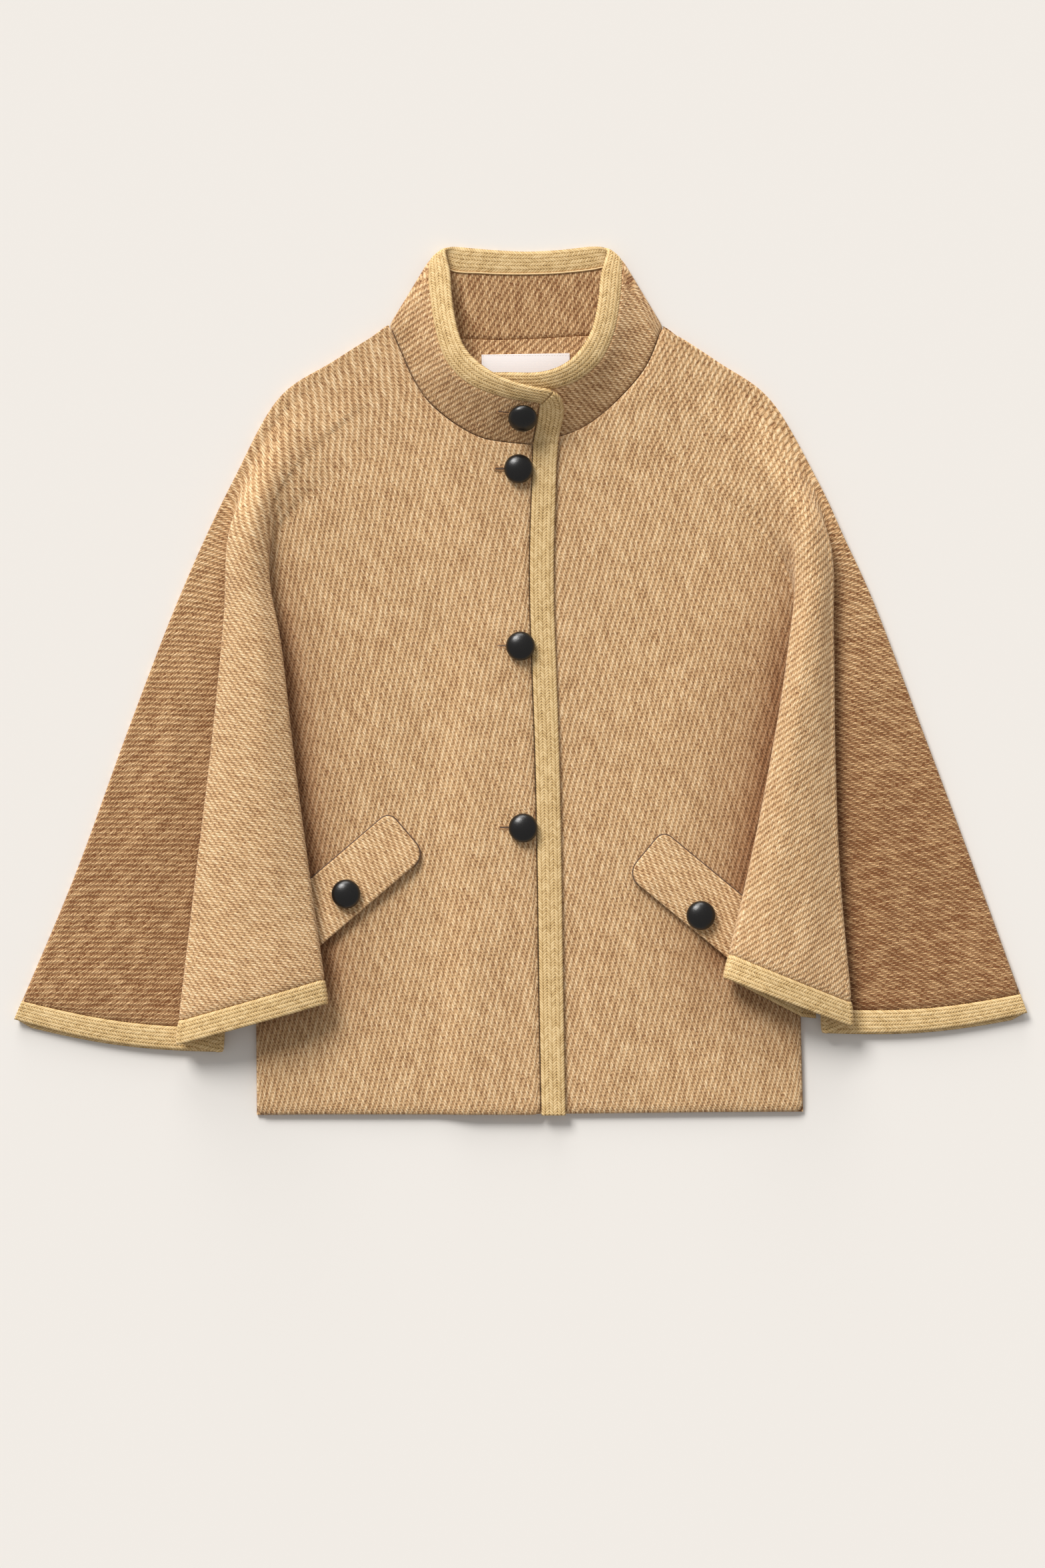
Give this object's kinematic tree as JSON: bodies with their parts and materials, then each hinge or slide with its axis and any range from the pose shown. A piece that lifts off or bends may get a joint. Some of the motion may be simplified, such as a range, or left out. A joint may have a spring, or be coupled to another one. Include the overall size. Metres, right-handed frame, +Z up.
{
  "type": "wool cape jacket laid flat",
  "caption": "Hip-length wool cape jacket laid flat, with wide cape sleeves, a stand collar, braid-bound edges, slanted flap pockets and domed buttons.",
  "frame": {"origin": "centre of the footprint on the surface that the cape lies on", "axes": "+X to the wearer's left (the viewer's right), +Y from the hem to the collar, +Z up from the surface out of the front"},
  "size_m": [0.885, 0.7598, 0.0414],
  "materials": {
    "wool": "coarse fuzzy twill, matte",
    "braid": "flat plaited braid, matte",
    "button": "black leather-covered dome, satin",
    "label": "plain satin ribbon, bare"
  },
  "bodies": {
    "root": {"back": "wool", "front_right": "wool", "front_left": "wool", "collar": "wool", "flap_right": "wool", "flap_left": "wool", "collar_braid": "braid", "placket_braid": "braid", "sleeve_braid_right": "braid", "sleeve_braid_left": "braid", "sleeve_braid_back_right": "braid", "sleeve_braid_back_left": "braid", "button_collar": "button", "button_front_1": "button", "button_front_2": "button", "button_front_3": "button", "button_flap_right": "button", "button_flap_left": "button", "label": "label"}
  },
  "joints": []
}
